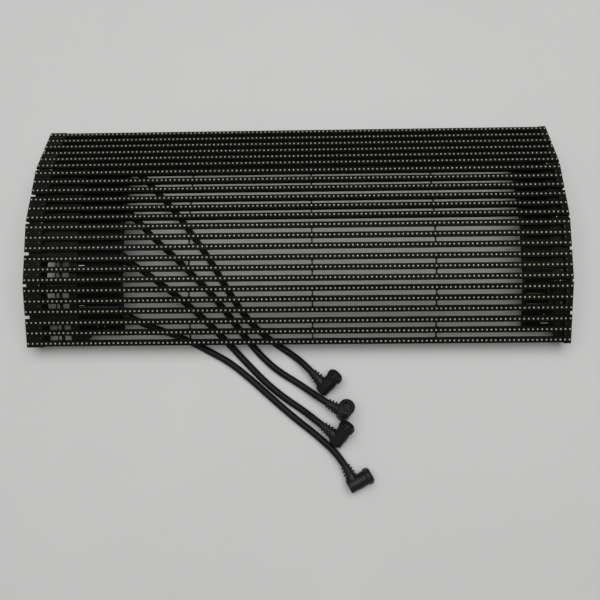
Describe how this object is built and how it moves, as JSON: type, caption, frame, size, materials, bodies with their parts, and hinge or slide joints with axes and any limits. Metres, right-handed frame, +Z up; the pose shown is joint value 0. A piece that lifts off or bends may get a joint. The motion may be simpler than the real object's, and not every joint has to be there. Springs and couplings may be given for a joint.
{
  "type": "led curtain screen",
  "caption": "Slatted LED curtain screen of hinged panels standing as a low arch, face up, with power and hub boxes behind and round leads that end in elbow plugs.",
  "frame": {"origin": "on the floor under the middle of the arch: centre of the box of the screen without its leads", "axes": "+X along the slats, to the right seen from the leads' side; +Y away from the leads; +Z up, the way the LEDs face"},
  "size_m": [0.998, 0.7047, 0.0997],
  "materials": {
    "slats": "moulded black mask, faint olive tint",
    "led_board": "black solder mask",
    "frame": "dark grey powder coat on folded sheet",
    "box": "black fine texture",
    "driver_board": "green circuit board",
    "hinge_pin": "plain",
    "lead": "round black jacket, slight sheen",
    "plug": "black glass filled nylon, satin",
    "ring": "black ribbed coupling ring, satin"
  },
  "bodies": {
    "panel_1": {"panel_1_lower_module": "slats", "panel_1_lower_led_board": "led_board", "panel_1_upper_module": "slats", "panel_1_upper_led_board": "led_board", "panel_1_left_frame": "frame", "panel_1_right_frame": "frame", "panel_1_power_box": "box", "panel_1_power_box_lid": "box", "panel_1_driver_board": "driver_board", "panel_1_hub_box": "box", "panel_1_lead": "lead", "panel_1_plug_body": "plug", "panel_1_gland_nut": "plug", "hinge_pins_1_2": "hinge_pin"},
    "ring_1": {"panel_1_coupling_ring": "ring"},
    "panel_2": {"panel_2_lower_module": "slats", "panel_2_lower_led_board": "led_board", "panel_2_upper_module": "slats", "panel_2_upper_led_board": "led_board", "panel_2_left_frame": "frame", "panel_2_right_frame": "frame", "panel_2_power_box": "box", "panel_2_power_box_lid": "box", "panel_2_driver_board": "driver_board", "panel_2_hub_box": "box", "panel_2_lead": "lead", "panel_2_plug_body": "plug", "panel_2_gland_nut": "plug", "hinge_pins_2_3": "hinge_pin"},
    "ring_2": {"panel_2_coupling_ring": "ring"},
    "panel_3": {"panel_3_lower_module": "slats", "panel_3_lower_led_board": "led_board", "panel_3_upper_module": "slats", "panel_3_upper_led_board": "led_board", "panel_3_left_frame": "frame", "panel_3_right_frame": "frame", "panel_3_power_box": "box", "panel_3_power_box_lid": "box", "panel_3_driver_board": "driver_board", "panel_3_hub_box": "box", "panel_3_lead": "lead", "panel_3_plug_body": "plug", "panel_3_gland_nut": "plug", "hinge_pins_3_4": "hinge_pin"},
    "ring_3": {"panel_3_coupling_ring": "ring"},
    "panel_4": {"panel_4_lower_module": "slats", "panel_4_lower_led_board": "led_board", "panel_4_upper_module": "slats", "panel_4_upper_led_board": "led_board", "panel_4_left_frame": "frame", "panel_4_right_frame": "frame", "panel_4_power_box": "box", "panel_4_power_box_lid": "box", "panel_4_driver_board": "driver_board", "panel_4_hub_box": "box", "panel_4_lead": "lead", "panel_4_plug_body": "plug", "panel_4_gland_nut": "plug"},
    "ring_4": {"panel_4_coupling_ring": "ring"}
  },
  "joints": [
    {"name": "fold_1_2", "type": "hinge", "parent": "panel_1", "child": "panel_2", "pos_m": [0, -0.11604, 0.07968], "axis": [1, 0, 0], "range_deg": [0, 32.88]},
    {"name": "fold_2_3", "type": "hinge", "parent": "panel_2", "child": "panel_3", "pos_m": [0, 0, 0.09644], "axis": [1, 0, 0], "range_deg": [0, 32.88]},
    {"name": "fold_3_4", "type": "hinge", "parent": "panel_3", "child": "panel_4", "pos_m": [0, 0.11604, 0.07968], "axis": [1, 0, 0], "range_deg": [0, 32.88]},
    {"name": "ring_turn_1", "type": "hinge", "parent": "panel_1", "child": "ring_1", "pos_m": [0.123, -0.45444, 0.01469], "axis": [0.8754, 0.4805, 0.0523], "continuous": true},
    {"name": "ring_turn_2", "type": "hinge", "parent": "panel_2", "child": "ring_2", "pos_m": [0.08726, -0.37158, 0.0289], "axis": [0.5399, 0.6771, 0.5], "continuous": true},
    {"name": "ring_turn_3", "type": "hinge", "parent": "panel_3", "child": "ring_3", "pos_m": [0.08834, -0.33631, 0.03903], "axis": [0.1498, 0.2511, 0.9563], "continuous": true},
    {"name": "ring_turn_4", "type": "hinge", "parent": "panel_4", "child": "ring_4", "pos_m": [0.06767, -0.27996, 0.02805], "axis": [0.6468, 0.6011, 0.4695], "continuous": true}
  ]
}
